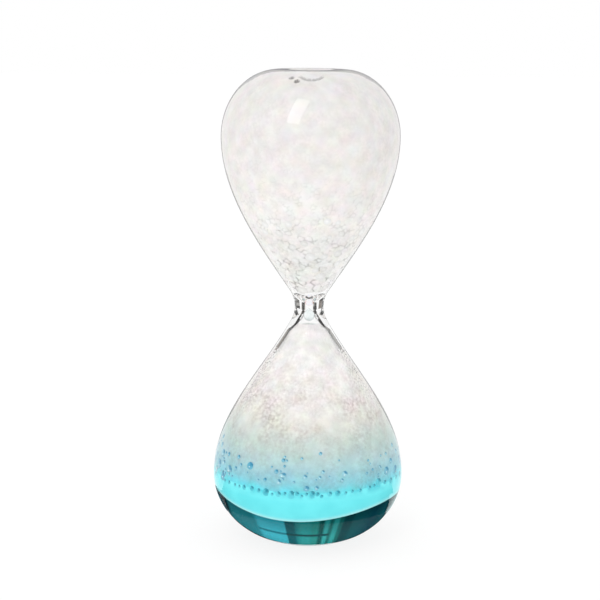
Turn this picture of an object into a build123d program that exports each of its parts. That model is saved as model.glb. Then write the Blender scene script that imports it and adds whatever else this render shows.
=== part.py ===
from build123d import *
import os
from dataclasses import dataclass
from math import asin, cos, degrees, hypot, pi, radians, sin, sqrt

# Driving dimensions, in millimetres and degrees.
# The origin is the middle of the foot, with +Z along the axis of the glass.

# Glass
lower_height = 69.0          # foot to the middle of the neck
lower_radius = 28.0          # lower bulb at its widest
lower_widest = 18.7          # widest place above the foot
foot_radius = 13.0           # flat that the timer stands on
lower_shoulder_center = 4.2  # centre of the lower shoulder's ellipse, from the axis
lower_cone_angle = 28.3      # wall from the axis, where the neck's flare ends
upper_height = 68.5          # middle of the neck to the rim
upper_radius = 25.7          # upper bulb at its widest
upper_widest = 19.1          # widest place below the rim
rim_radius = 9.4             # outer edge of the flat rim, where the shoulder begins
upper_cone_angle = 33.8
neck_radius = 4.2            # outside of the neck at its waist
flare_radius = 8.4           # round of the waist, seen from the side
flare_past_joint = 0.4       # round of the waist that is left on the bulbs
bore_radius = 1.6            # narrow bore through the neck
bore_half_length = 1.2       # straight part of the bore on each side of the waist
wall = 1.3                   # glass of the bulbs
end_extra = 0.7              # added thickness at the foot and the rim

# Fill hole in the dent at the top
dent_radius = 6.8
dent_depth = 2.5
hole_radius = 2.0
stopper_head_radius = 3.0
stopper_head_thickness = 0.7
stopper_reach = 0.8          # stem below the glass
bead_radius = 4.65
bead_cover = 0.65            # sealant over the stopper's head
seal_clearance = 0.05

# Contents
film = 0.2                   # gap between the contents and the glass
deep_level = 13.5            # top of the dark liquid
cyan_level = 20.6            # top of the bright liquid
blue_level = 36.0            # top of the blue-tinted foam
foam_to_joint = 1.0          # foam stops this far from the ends of the neck tube
ring_bubble_radius = 0.95
ring_bubble_pitch = 3.9
wall_bubble_radii = (1.5, 1.1, 1.8, 1.3)
wall_bubble_count = 16
wall_bubble_rise = 4.0       # lowest wall bubble above the bright liquid
wall_bubble_spread = 8.0     # highest wall bubble above the lowest
neck_bubble_radius = 1.5
neck_bubble_spacing = 0.2    # least gap between bubbles of one row
neck_row_first = 11.5        # first row above the middle of the neck
neck_row_pitch = 3.3
neck_row_count = 6

# Moving pieces
drop_radius = 1.6
drop_tail = 0.7              # point of the drop above its round part
drop_rest = 2.6              # centre of the drop below the middle of the neck
bubble_radius = 1.25
bubble_rest = 1.7            # centre of the bubble above the middle of the neck
channel_clearance = 0.8      # around the drop and the bubble in the foam
drop_landing = 0.6           # drop above the bright liquid at the end of its fall
bubble_travel = 14.0

# Worked out from the sizes above
end_wall = wall + end_extra
joint_height = flare_radius * sin(radians(min(lower_cone_angle, upper_cone_angle))) - flare_past_joint
neck_z = lower_height
drop_travel = neck_z - drop_rest - drop_radius - drop_landing - cyan_level
drop_channel = drop_radius + channel_clearance
bubble_channel = bubble_radius + channel_clearance
golden_angle = 180 * (3 - sqrt(5))
golden_step = (sqrt(5) - 1) / 2

# Half sections are drawn as (distance from the axis, distance from the middle of the neck).
upward = Plane(origin=(0, 0, neck_z), x_dir=(1, 0, 0), z_dir=(0, -1, 0))
downward = Plane(origin=(0, 0, neck_z), x_dir=(1, 0, 0), z_dir=(0, 1, 0))


@dataclass
class Bulb:
    """The sizes of one bulb, measured along the axis from the middle of the neck."""

    height: float
    radius: float
    widest: float
    flat_radius: float
    shoulder_center: float
    cone_angle: float


lower = Bulb(lower_height, lower_radius, lower_height - lower_widest,
             foot_radius, lower_shoulder_center, lower_cone_angle)
upper = Bulb(upper_height, upper_radius, upper_height - upper_widest,
             rim_radius, rim_radius, upper_cone_angle)


def flare_point(inset, angle):
    """A point of the waist's round, inset into the glass, at an angle from the waist."""
    r = flare_radius + inset
    return (neck_radius + flare_radius - r * cos(angle), r * sin(angle))


def flare_start(inset, height):
    """The angle at which the waist's round passes a height."""
    return asin(height / (flare_radius + inset))


def cone_points(bulb, inset):
    """Control points of the wall from the end of the flare to the widest place."""
    angle = radians(bulb.cone_angle)
    start = flare_point(inset, angle)
    end = (bulb.radius - inset, bulb.widest)
    handle = hypot(end[0] - start[0], end[1] - start[1]) / 3
    return (start,
            (start[0] + handle * sin(angle), start[1] + handle * cos(angle)),
            (end[0], end[1] - handle),
            end)


def shoulder_radii(bulb, inset):
    """Half axes of the shoulder's ellipse, which meets the flat end at its radius."""
    across = bulb.radius - bulb.shoulder_center
    share = (bulb.flat_radius - bulb.shoulder_center) / across
    along = (bulb.height - bulb.widest) / sqrt(1 - share**2)
    return across - inset, along - inset


def wall_radius(bulb, height, inset):
    """Distance of the inset wall from the axis, between the flare and the widest place."""
    points = cone_points(bulb, inset)
    low, high = 0.0, 1.0
    for _ in range(50):
        t = (low + high) / 2
        weights = ((1 - t)**3, 3 * t * (1 - t)**2, 3 * t**2 * (1 - t), t**3)
        if sum(w * p[1] for w, p in zip(weights, points)) < height:
            low = t
        else:
            high = t
    return sum(w * p[0] for w, p in zip(weights, points))


def shoulder_radius(bulb, height, inset):
    """Distance of the inset wall from the axis, between the widest place and the flat end."""
    across, along = shoulder_radii(bulb, inset)
    return bulb.shoulder_center + across * sqrt(1 - ((height - bulb.widest) / along)**2)


def inside_radius(bulb, height, inset):
    """Distance of the inset wall from the axis at any height past the flare."""
    if height < bulb.widest:
        return wall_radius(bulb, height, inset)
    return shoulder_radius(bulb, height, inset)


def bulb_face(bulb, inset=0.0, end_inset=0.0, mode=Mode.ADD):
    """Half section of a bulb from the end of the neck tube to its flat end."""
    first = flare_start(inset, joint_height)
    last = radians(bulb.cone_angle)
    end = bulb.height - end_inset
    across, along = shoulder_radii(bulb, inset)
    turn = degrees(asin((end - bulb.widest) / along))
    with BuildLine() as outline:
        flare = ThreePointArc(flare_point(inset, first), flare_point(inset, (first + last) / 2),
                              flare_point(inset, last))
        Bezier(*cone_points(bulb, inset))
        shoulder = EllipticalCenterArc((bulb.shoulder_center, bulb.widest), across, along,
                                       start_angle=0, arc_size=turn)
        Polyline(shoulder @ 1, (0, end), (0, joint_height), flare @ 0)
    make_face(outline.edges(), mode=mode)


def band(start, end, radius, mode):
    """Half section of a disc of a radius between two distances from the middle of the neck."""
    with Locations((radius / 2, (start + end) / 2)):
        Rectangle(radius, end - start, mode=mode)


def layer_face(bulb, start, end):
    """Half section of what fills a bulb between two distances from the middle of the neck."""
    bulb_face(bulb, wall + film, end_wall + film)
    band(start, end, bulb.radius, Mode.INTERSECT)


def cone_face(bulb, start, end, inset):
    """Half section of a core inside the wall, between the flare and the widest place."""
    points = cone_points(bulb, inset)
    with BuildLine() as outline:
        Bezier(*points)
        Polyline(points[-1], (0, points[-1][1]), (0, points[0][1]), points[0])
    make_face(outline.edges())
    band(start, end, bulb.radius, Mode.INTERSECT)


# Glass: the lower bulb with its foot
with BuildPart() as lower_bulb:
    with BuildSketch(downward):
        bulb_face(lower)
        bulb_face(lower, wall, end_wall, Mode.SUBTRACT)
    revolve(axis=Axis.Z)
lower_bulb.part.label = "lower_bulb"

# Glass: the upper bulb, whose end is pushed in to a dent with the fill hole in its middle
dent_sphere = (dent_radius**2 + dent_depth**2) / (2 * dent_depth)
dent_center = upper_height - dent_depth + dent_sphere
with BuildPart() as upper_bulb:
    with BuildSketch(upward):
        bulb_face(upper)
        bulb_face(upper, wall, end_wall, Mode.SUBTRACT)
        with Locations((0, dent_center)):
            Circle(dent_sphere + end_wall)
        bulb_face(upper, mode=Mode.INTERSECT)
        with Locations((0, dent_center)):
            Circle(dent_sphere, mode=Mode.SUBTRACT)
        band(upper.widest, upper_height, hole_radius, Mode.SUBTRACT)
    revolve(axis=Axis.Z)
upper_bulb.part.label = "upper_bulb"

# Glass: the thick neck tube, with a narrow bore that opens towards both bulbs
joint_outer = flare_point(0, flare_start(0, joint_height))
joint_angle = flare_start(wall, joint_height)
joint_inner = flare_point(wall, joint_angle)
mouth_handle = (joint_height - bore_half_length) / 3
with BuildPart() as neck_tube:
    with BuildSketch(upward):
        with BuildLine():
            waist = ThreePointArc((joint_outer[0], -joint_height), (neck_radius, 0), joint_outer)
            Line(waist @ 1, joint_inner)
            mouth = Bezier(joint_inner,
                           (joint_inner[0] - mouth_handle * sin(joint_angle),
                            joint_inner[1] - mouth_handle * cos(joint_angle)),
                           (bore_radius, bore_half_length + mouth_handle),
                           (bore_radius, bore_half_length))
            Line(mouth @ 1, (bore_radius, 0))
            mirror(about=Plane.XZ)
        make_face()
    revolve(axis=Axis.Z)
neck_tube.part.label = "neck_tube"


def dent_height(radius):
    """Height of the dent's surface at a distance from the axis."""
    return dent_center - sqrt(dent_sphere**2 - radius**2)


# Stopper in the fill hole: a stem through the glass under a flat head
head_under = dent_height(stopper_head_radius) + seal_clearance
head_top = head_under + stopper_head_thickness
stem_radius = hole_radius - seal_clearance
stem_end = dent_center - dent_sphere - end_wall - stopper_reach
with BuildPart() as fill_stopper:
    with BuildSketch(upward):
        band(stem_end, head_under, stem_radius, Mode.ADD)
        band(head_under, head_top, stopper_head_radius, Mode.ADD)
    revolve(axis=Axis.Z)
fill_stopper.part.label = "fill_stopper"

# Bead of clear sealant: a low dome over the stopper's head, lying on the dent
bead_top = head_top + bead_cover
bead_edge = dent_height(bead_radius) + seal_clearance
bead_rise = bead_top - bead_edge
bead_sphere = (bead_radius**2 + bead_rise**2) / (2 * bead_rise)
with BuildPart() as seal_bead:
    with BuildSketch(upward):
        with Locations((0, bead_top - bead_sphere)):
            Circle(bead_sphere)
        band(stem_end, bead_top, bead_radius, Mode.INTERSECT)
        with Locations((0, dent_center)):
            Circle(dent_sphere - seal_clearance, mode=Mode.INTERSECT)
        band(stem_end, head_top + seal_clearance, stopper_head_radius + seal_clearance, Mode.SUBTRACT)
    revolve(axis=Axis.Z)
seal_bead.part.label = "seal_bead"

# Dark liquid at the bottom
with BuildPart() as deep_liquid:
    with BuildSketch(downward):
        layer_face(lower, neck_z - deep_level, lower_height)
    revolve(axis=Axis.Z)
deep_liquid.part.label = "deep_liquid"

# Bright liquid over it
with BuildPart() as cyan_liquid:
    with BuildSketch(downward):
        layer_face(lower, neck_z - cyan_level, neck_z - deep_level)
    revolve(axis=Axis.Z)
cyan_liquid.part.label = "cyan_liquid"

# Row of bubbles along the wall, on the bright liquid
ring_z = cyan_level + film + ring_bubble_radius
ring_radius = inside_radius(lower, neck_z - ring_z, wall + film + ring_bubble_radius)
ring_count = int(2 * pi * ring_radius / ring_bubble_pitch)
with BuildPart() as ring_bubbles:
    with Locations((0, 0, ring_z)):
        with PolarLocations(ring_radius, ring_count):
            Sphere(ring_bubble_radius)
ring_bubbles.part.label = "ring_bubbles"

# Larger single bubbles against the wall, spread by the golden angle
wall_bubbles_at = []
for i in range(wall_bubble_count):
    r = wall_bubble_radii[i % len(wall_bubble_radii)]
    z = cyan_level + wall_bubble_rise + wall_bubble_spread * (i * golden_step % 1)
    out = inside_radius(lower, neck_z - z, wall + film + r)
    turn = i * golden_angle
    place = (out * cos(radians(turn)), out * sin(radians(turn)), z)
    # Each bubble is turned so that its seam faces the axis, away from the wall.
    wall_bubbles_at.append((r, Location(place, (0, 0, turn + 180))))
with BuildPart() as wall_bubbles:
    for r, place in wall_bubbles_at:
        with Locations(place):
            Sphere(r)
wall_bubbles.part.label = "wall_bubbles"

# Blue-tinted foam, with room for both kinds of bubbles and the drain channel
groove_height = 2 * (film + ring_bubble_radius)
groove_radius = ring_radius - ring_bubble_radius - film
with BuildPart() as blue_foam:
    with BuildSketch(downward):
        layer_face(lower, neck_z - blue_level, neck_z - cyan_level - groove_height)
        band(neck_z - cyan_level - groove_height, neck_z - cyan_level, groove_radius, Mode.ADD)
        band(0, lower_height, drop_channel, Mode.SUBTRACT)
    revolve(axis=Axis.Z)
    for r, place in wall_bubbles_at:
        with Locations(place):
            Sphere(r + film, mode=Mode.SUBTRACT)
blue_foam.part.label = "blue_foam"

# Coarse white foam up to the neck
with BuildPart() as white_foam:
    with BuildSketch(downward):
        layer_face(lower, joint_height + foam_to_joint, neck_z - blue_level)
        band(0, lower_height, drop_channel, Mode.SUBTRACT)
    revolve(axis=Axis.Z)
white_foam.part.label = "white_foam"

# Rows of large bubbles against the wall just above the neck
rows_start = neck_row_first - neck_bubble_radius - film
rows_end = neck_row_first + (neck_row_count - 1) * neck_row_pitch + neck_bubble_radius + film
with BuildPart() as neck_bubbles:
    for row in range(neck_row_count):
        row_height = neck_row_first + row * neck_row_pitch
        row_radius = wall_radius(upper, row_height, wall + film + neck_bubble_radius)
        step = asin((neck_bubble_radius + neck_bubble_spacing / 2) / row_radius)
        count = int(pi / step)
        with Locations((0, 0, neck_z + row_height)):
            with PolarLocations(row_radius, count, start_angle=row * golden_angle):
                Sphere(neck_bubble_radius)
neck_bubbles.part.label = "neck_bubbles"

# Pale foam of the upper bulb: a slim core inside those rows, the dent's hollow at the top,
# and a short channel for the rising bubble
core_inset = wall + 2 * (film + neck_bubble_radius)
channel_top = bubble_rest + bubble_travel + bubble_channel
with BuildPart() as upper_foam:
    with BuildSketch(upward):
        cone_face(upper, rows_start, rows_end, core_inset)
    revolve(axis=Axis.Z)
    with BuildSketch(upward):
        layer_face(upper, joint_height + foam_to_joint, rows_start)
    revolve(axis=Axis.Z)
    with BuildSketch(upward):
        layer_face(upper, rows_end, upper_height)
        with Locations((0, dent_center)):
            Circle(dent_sphere + end_wall + film, mode=Mode.SUBTRACT)
        band(stem_end - film, upper_height, hole_radius, Mode.SUBTRACT)
    revolve(axis=Axis.Z)
    with BuildSketch(upward):
        band(0, channel_top, bubble_channel, Mode.ADD)
    revolve(axis=Axis.Z, mode=Mode.SUBTRACT)
upper_foam.part.label = "upper_foam"

# Drop that gathers in the lower mouth of the bore and falls to the bright liquid
with BuildPart() as falling_drop:
    with BuildSketch(downward):
        with BuildLine():
            belly = ThreePointArc((0, drop_rest + drop_radius), (drop_radius, drop_rest),
                                  (drop_radius * cos(pi / 6), drop_rest - drop_radius * sin(pi / 6)))
            Line(belly @ 1, (0, drop_rest - drop_radius - drop_tail))
            Line((0, drop_rest - drop_radius - drop_tail), (0, drop_rest + drop_radius))
        make_face()
    revolve(axis=Axis.Z)
falling_drop.part.label = "falling_drop"

# Bubble that rises through the bore in exchange
with BuildPart() as rising_bubble:
    with Locations((0, 0, neck_z + bubble_rest)):
        Sphere(bubble_radius)
rising_bubble.part.label = "rising_bubble"

print("drop travel", round(drop_travel, 3), "mm, bubble travel", bubble_travel, "mm")

os.makedirs("parts", exist_ok=True)
for piece in (lower_bulb, upper_bulb, neck_tube, fill_stopper, seal_bead, deep_liquid, cyan_liquid,
              ring_bubbles, wall_bubbles, blue_foam, white_foam, neck_bubbles, upper_foam,
              falling_drop, rising_bubble):
    export_step(piece.part, f"parts/{piece.part.label}.step")
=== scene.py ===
# %% [markdown]
# # A foam hourglass in glass, liquid and bubbles
# The object is a sealed glass timer. Two blown bulbs meet at a thick neck, foam fills both bulbs, and
# coloured liquid lies at the bottom of the lower one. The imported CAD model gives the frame: its bodies,
# its joints and its box. This script dresses that frame, and every piece sits where the CAD piece is.

# %% Load the frame
import math
import random

import bpy
import numpy as np
from mathutils import Matrix, Vector, kdtree


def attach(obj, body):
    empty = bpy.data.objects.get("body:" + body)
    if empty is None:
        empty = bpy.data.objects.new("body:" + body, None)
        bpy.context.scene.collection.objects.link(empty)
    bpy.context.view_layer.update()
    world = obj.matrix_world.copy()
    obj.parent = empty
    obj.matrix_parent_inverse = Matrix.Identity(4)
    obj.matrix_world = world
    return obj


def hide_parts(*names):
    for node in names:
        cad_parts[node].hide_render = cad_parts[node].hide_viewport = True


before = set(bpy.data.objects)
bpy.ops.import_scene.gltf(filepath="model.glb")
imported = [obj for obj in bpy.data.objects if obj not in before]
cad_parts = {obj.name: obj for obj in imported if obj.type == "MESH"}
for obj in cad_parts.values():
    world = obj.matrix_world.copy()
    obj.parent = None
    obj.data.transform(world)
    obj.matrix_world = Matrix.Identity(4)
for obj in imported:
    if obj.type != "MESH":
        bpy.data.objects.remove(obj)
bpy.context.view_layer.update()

MM = 0.001

# %% [markdown]
# A few small tools are used all over. Colours are written as sRGB hex, the way a colour picker shows them,
# and Blender's sockets want linear light, so one function turns one into the other. Another adds a shader
# node. A node or a socket among its values becomes a link, and anything else is set on the socket itself.

# %% Colour and node tools
def linear(hex_colour):
    """An sRGB hex colour as linear RGBA."""
    channels = [int(hex_colour[i:i + 2], 16) / 255 for i in (1, 3, 5)]
    return [c / 12.92 if c <= 0.04045 else ((c + 0.055) / 1.055) ** 2.4 for c in channels] + [1.0]


def add_node(tree, kind, sockets=None, **settings):
    """A new node with its settings and its inputs. A node among the inputs stands for its first output."""
    node = tree.nodes.new(kind)
    for name, value in settings.items():
        setattr(node, name, value)
    for name, value in (sockets or {}).items():
        if isinstance(value, bpy.types.Node):
            value = value.outputs[0]
        if isinstance(value, bpy.types.NodeSocket):
            tree.links.new(value, node.inputs[name])
        else:
            node.inputs[name].default_value = value
    return node


def new_material(name):
    """A material without any nodes yet."""
    material = bpy.data.materials.new(name)
    material.use_nodes = True
    material.node_tree.nodes.clear()
    return material, material.node_tree


def set_ramp(ramp, stops):
    """Writes stops of (place from 0 to 1, linear colour) into a colour ramp node."""
    elements = ramp.color_ramp.elements
    while len(elements) < len(stops):
        elements.new(0.5)
    for element, (place, colour) in zip(elements, stops):
        element.position = place
        element.color = colour


def clouded(tree, length, dull, bright):
    """Soft clouds about a length across, between two colours."""
    place = add_node(tree, "ShaderNodeTexCoord")
    noise = add_node(tree, "ShaderNodeTexNoise", {"Vector": place.outputs["Object"], "Scale": 1 / length,
                                                  "Detail": 2.0})
    ramp = add_node(tree, "ShaderNodeValToRGB", {"Fac": noise.outputs["Fac"]})
    set_ramp(ramp, [(0.35, linear(dull)), (0.65, linear(bright))])
    return ramp


print("white is", linear("#ffffff"))

# %% [markdown]
# The camera comes first, because everything after it is judged through it. The photograph looks slightly
# down: the rim of the glass is seen almost edge on, and the rings of liquid at the bottom are seen from
# about twenty degrees above. A long lens less than half a metre away, tipped down by eleven degrees, gives
# both.

# %% Camera
IMAGE_SIDE = 600                 # pixels
FOCAL_PIXELS = 1515              # focal length, in pixels of that frame
SENSOR_WIDTH = 36                # millimetres
PITCH = math.radians(11)         # the camera looks down by this
ROLL = math.radians(0.45)        # the object leans this little to the right
NECK_PIXEL = (309.2, 306.0)      # where the middle of the neck is in the photograph
NECK_DEPTH = 443 * MM
NECK_HEIGHT = 69.0               # millimetres above the foot

forward = Vector((0, math.cos(PITCH), -math.sin(PITCH)))
above = Vector((0, math.sin(PITCH), math.cos(PITCH)))
right = Vector((1, 0, 0))
pixel_size = NECK_DEPTH / FOCAL_PIXELS
neck_right = (NECK_PIXEL[0] - IMAGE_SIDE / 2) * pixel_size
neck_above = (IMAGE_SIDE / 2 - NECK_PIXEL[1]) * pixel_size

camera_data = bpy.data.cameras.new("camera")
camera_data.sensor_width = SENSOR_WIDTH
camera_data.lens = FOCAL_PIXELS / IMAGE_SIDE * SENSOR_WIDTH
camera_data.clip_start = 0.01
camera = bpy.data.objects.new("camera", camera_data)
bpy.context.collection.objects.link(camera)
neck = Vector((0, 0, NECK_HEIGHT * MM))
place = neck - forward * NECK_DEPTH - right * neck_right - above * neck_above
turn = Matrix.Rotation(-ROLL, 4, forward) @ Matrix.Rotation(math.pi / 2 - PITCH, 4, "X")
camera.matrix_world = Matrix.Translation(place) @ turn
bpy.context.scene.camera = camera
print("camera at", [round(c, 4) for c in place], "lens", round(camera_data.lens, 1), "mm")

# %% [markdown]
# The studio is a pale paper floor under an even white sky, with one soft window light at the upper left.
# A white floor could be had by turning the lamps up, but then the pale foam would clip. Here the camera,
# and the rays that come by way of glass, see most of the floor as plain white, while the light that falls
# on the object stays at a plain level and the matt paper still takes a soft shadow. Glass passes light on
# many times before it comes out, so the rays are allowed more turns than usual.

# %% World, floor and window light
SKY_LIGHT = 1.0                  # a plain level, at which the sky itself is seen as white
FLOOR_SIZE, FLOOR_GAP = 6, 0.0004    # metres, and the gap below the foot is room for a mat
FLOOR_WHITE = 0.82               # share of the floor that is seen as plain white
FLOOR_GLOW = 1.03
WINDOW_SIZE = (0.17, 0.45)       # metres
WINDOW_HEADING, WINDOW_RISE, WINDOW_LEAN = (math.radians(degrees) for degrees in (-21.5, 43.2, -8))
WINDOW_DISTANCE, WINDOW_AIM = 0.62, 0.126
WINDOW_POWER = 0.7               # watts
GLASS_TURNS = 24                 # times that a ray may pass or bounce off glass

scene = bpy.context.scene
scene.view_settings.view_transform = "Standard"
scene.cycles.max_bounces = GLASS_TURNS
scene.cycles.glossy_bounces = GLASS_TURNS
scene.cycles.transmission_bounces = GLASS_TURNS


def seen_directly(tree):
    """1 for rays of the camera and rays by way of glass or gloss, 0 for light that falls on things."""
    path = add_node(tree, "ShaderNodeLightPath")
    seen = path.outputs["Is Camera Ray"]
    for ray in ("Is Glossy Ray", "Is Transmission Ray"):
        seen = add_node(tree, "ShaderNodeMath", {0: seen, 1: path.outputs[ray]}, operation="MAXIMUM")
    return seen


world = bpy.data.worlds.new("soft_studio")
scene.world = world
world.use_nodes = True
sky = world.node_tree
sky.nodes.clear()
glow = add_node(sky, "ShaderNodeBackground", {"Color": linear("#ffffff"), "Strength": SKY_LIGHT})
add_node(sky, "ShaderNodeOutputWorld", {"Surface": glow})

bpy.ops.mesh.primitive_plane_add(size=FLOOR_SIZE, location=(0, 0, -FLOOR_GAP))
floor = bpy.context.object
floor.name = "studio_floor"
paper_look, tree = new_material("floor_paper")
paper = add_node(tree, "ShaderNodeBsdfDiffuse", {"Color": linear("#f6f6f5")})
white = add_node(tree, "ShaderNodeEmission", {"Color": linear("#ffffff"), "Strength": FLOOR_GLOW})
share = add_node(tree, "ShaderNodeMath", {0: seen_directly(tree), 1: FLOOR_WHITE}, operation="MULTIPLY")
shade = add_node(tree, "ShaderNodeMixShader", {0: share, 1: paper, 2: white})
add_node(tree, "ShaderNodeOutputMaterial", {"Surface": shade})
floor.data.materials.append(paper_look)

window_data = bpy.data.lights.new("window_softbox", "AREA")
window_data.shape = "RECTANGLE"
window_data.size, window_data.size_y = WINDOW_SIZE
window_data.energy = WINDOW_POWER
window = bpy.data.objects.new("window_softbox", window_data)
bpy.context.collection.objects.link(window)
level_way = Vector((math.sin(WINDOW_HEADING), -math.cos(WINDOW_HEADING), 0))
toward = level_way * math.cos(WINDOW_RISE) + Vector((0, 0, math.sin(WINDOW_RISE)))
facing = toward.to_track_quat("Z", "Y").to_matrix().to_4x4() @ Matrix.Rotation(WINDOW_LEAN, 4, "Z")
window.matrix_world = Matrix.Translation(Vector((0, 0, WINDOW_AIM)) + toward * WINDOW_DISTANCE) @ facing
print("studio: floor, sky and one window light")

# %% [markdown]
# Clear glass has no look of its own: it shows what stands around it. A glass photographer sets cards about
# and so decides where the glass is dark and where it is light. Real cards would show themselves and shade
# the floor. Here each one glows by itself, lights nothing and throws no shadow. All but one are bent around
# the timer and seen in one way only, by rays that glass has refracted or by rays that it has reflected.

# %% Card tools
def card_surface(name, colour, cover=1.0):
    """A card's surface that glows in a hex colour or a pattern. Below a cover of 1 it is partly clear."""
    material, tree = new_material(name)
    shown = linear(colour) if isinstance(colour, str) else colour(tree)
    shine = add_node(tree, "ShaderNodeEmission", {"Color": shown})
    clear = add_node(tree, "ShaderNodeBsdfTransparent")
    sheet = add_node(tree, "ShaderNodeMixShader", {0: cover, 1: clear, 2: shine})
    add_node(tree, "ShaderNodeOutputMaterial", {"Surface": sheet})
    return material


def card(name, spots, faces, surface, seen):
    """A card of the studio, seen by refracted rays, by reflected ones or by both."""
    mesh = bpy.data.meshes.new(name)
    mesh.from_pydata(spots, [], faces)
    mesh.materials.append(surface)
    sheet = bpy.data.objects.new(name, mesh)
    bpy.context.collection.objects.link(sheet)
    sheet.visible_camera = False
    sheet.visible_diffuse = False
    sheet.visible_shadow = False
    sheet.visible_transmission = seen != "reflected"
    sheet.visible_glossy = seen != "refracted"
    print("card", name, seen)


def bent_card(name, first, second, start, end, surface, seen, steps=64):
    """A card between two rims (radius, height) in metres. Degrees count from straight behind."""
    turns = np.radians(np.linspace(start, end, steps))
    spots = [(radius * math.sin(a), radius * math.cos(a), height)
             for radius, height in (first, second) for a in turns]
    card(name, spots, [(i, i + 1, i + 1 + steps, i + steps) for i in range(steps - 1)], surface, seen)


# %% [markdown]
# The liquid at the bottom works as a lens. What is seen in it is a wide piece of the room behind, drawn
# together: upright bands, with a level line across some of them. A whole room could be built for that. A
# screen far behind the timer does as well, with a colour ramp over the heading for its stripes and two thin
# bars in front of it. It is darker low down, as a room is.

# %% Striped screen
STRIPE_RADIUS, STRIPE_REACH = 1.5, 56                # metres, degrees to each side of straight behind
STRIPE_RISE = (5, 34)                                # the screen stands between these angles above the floor
STRIPE_FADE, STRIPE_SHADE = (9, 22), (0.46, 1.15)    # angles above the floor, and how bright it is there
STRIPES = [("#303838", -56), ("#3c4444", -46), ("#647c7c", -42), ("#506868", -36), ("#365860", -30),
           ("#50706e", -22), ("#52746e", -17.5), ("#48605c", -16.2, -13), ("#78907d", -12.2, -11.2),
           ("#d0d4bc", -10.6, -9.2), ("#78907d", -8.4, -7.6), ("#d8dac2", -7.1, -5.9),
           ("#4e7868", -5.3, -4.1), ("#aac0a4", -3.3), ("#a6b89d", -1.6), ("#b6c8b2", -0.5, 2.4),
           ("#7ca498", 4.4), ("#457c79", 5, 7.9), ("#ffeeea", 8.4), ("#ffeeec", 19.5), ("#a3b0ad", 22),
           ("#a8b0ac", 42), ("#30383c", 46), ("#202626", 56)]    # a colour, and the degrees where it stands
BAR_RISE, BAR_THICKNESS, BAR_GAP = 18.2, 0.045, 0.02
BARS = [(-8, 8.4, "#50605a"), (8.4, 21, "#9aa8a8")]


def screen_height(rise):
    """Height on the screen at an angle above the floor, in degrees."""
    return STRIPE_RADIUS * math.tan(math.radians(rise))


def stripes(tree):
    """Upright stripes over the heading, as on a folding screen."""
    place = add_node(tree, "ShaderNodeTexCoord")
    axes = add_node(tree, "ShaderNodeSeparateXYZ", {"Vector": place.outputs["Object"]})
    heading = add_node(tree, "ShaderNodeMath", {0: axes.outputs["X"], 1: axes.outputs["Y"]},
                       operation="ARCTAN2")
    reach = math.radians(STRIPE_REACH)
    share = add_node(tree, "ShaderNodeMapRange", {"Value": heading, "From Min": -reach, "From Max": reach})
    bands = add_node(tree, "ShaderNodeValToRGB", {"Fac": share})
    set_ramp(bands, [((degrees + STRIPE_REACH) / (2 * STRIPE_REACH), linear(colour))
                     for colour, *stands in STRIPES for degrees in stands])
    dim, full = map(screen_height, STRIPE_FADE)
    shade = add_node(tree, "ShaderNodeMapRange", {"Value": axes.outputs["Z"], "From Min": dim,
                                                  "From Max": full, "To Min": STRIPE_SHADE[0],
                                                  "To Max": STRIPE_SHADE[1]})
    return add_node(tree, "ShaderNodeVectorMath", {0: bands, "Scale": shade}, operation="SCALE")


low, high = ((STRIPE_RADIUS, screen_height(rise)) for rise in STRIPE_RISE)
bent_card("striped_screen", low, high, -STRIPE_REACH, STRIPE_REACH, card_surface("striped_card", stripes),
          "refracted")
bar_radius, bar = STRIPE_RADIUS - BAR_GAP, screen_height(BAR_RISE)
for start, end, colour in BARS:
    bent_card("screen_bar", (bar_radius, bar), (bar_radius, bar + BAR_THICKNESS), start, end,
              card_surface("grey_card", colour), "refracted")

# %% [markdown]
# The outline of clear glass shows what stands at its sides, so dark cards there draw it as a thin grey line.
# A thick neck bends light far more, and each line in it shows another height of what stands close behind.
# So a shield stands there, white in the middle, with a tone for each line on either side.

# %% Cards for the outline and the neck
CARD_FOOT = 0.001                # metres above the floor
LINE_RADIUS, LINE_HEIGHT, LINE_INNER, LINE_FROM, LINE_TO = 0.30, 0.12, 0.10, 46, 110
SHIELD_RADIUS, SHIELD_WHITE = 0.06, 26
SHIELDS = [(-SHIELD_WHITE, SHIELD_WHITE, [(0.05, 0.14, "#ffffff")]),
           (-LINE_FROM, -SHIELD_WHITE, [(0.05, 0.07, "#7d756d"), (0.07, 0.08, "#6a625c"),
                                        (0.08, 0.14, "#1c1a18")]),
           (SHIELD_WHITE, LINE_FROM, [(0.05, 0.06, "#2c2a28"), (0.06, 0.07, "#a3a19d"),
                                      (0.07, 0.08, "#5c5a57"), (0.08, 0.1, "#8f8d89"),
                                      (0.1, 0.14, "#1c1a18")])]

black = card_surface("black_card", "#101414")
inner, corner, top = (LINE_INNER, CARD_FOOT), (LINE_RADIUS, CARD_FOOT), (LINE_RADIUS, LINE_HEIGHT)
for side in (-1, 1):
    for first, second in ((corner, top), (inner, corner)):
        bent_card("outline_card", first, second, side * LINE_FROM, side * LINE_TO, black, "refracted")
for start, end, bands in SHIELDS:
    for low, high, colour in bands:
        bent_card("neck_shield", (SHIELD_RADIUS, low), (SHIELD_RADIUS, high), start, end,
                  card_surface("shield_card", colour), "refracted")

# %% [markdown]
# Seen at a slant, glass is a mirror. A silver card and a grey rug behind the timer give its edges their
# sheen, and rugs at both sides show in the tips of the dark liquid. Around the front of the timer lies an
# apron, dark at the foot and white farther out, and under the foot and in front of it lie mats that only
# refracted rays see. Without them the pale floor would wash the dark liquid out. A pale veil keeps most of
# the window out of the lower bulb, as a flag on a stand would.

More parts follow.
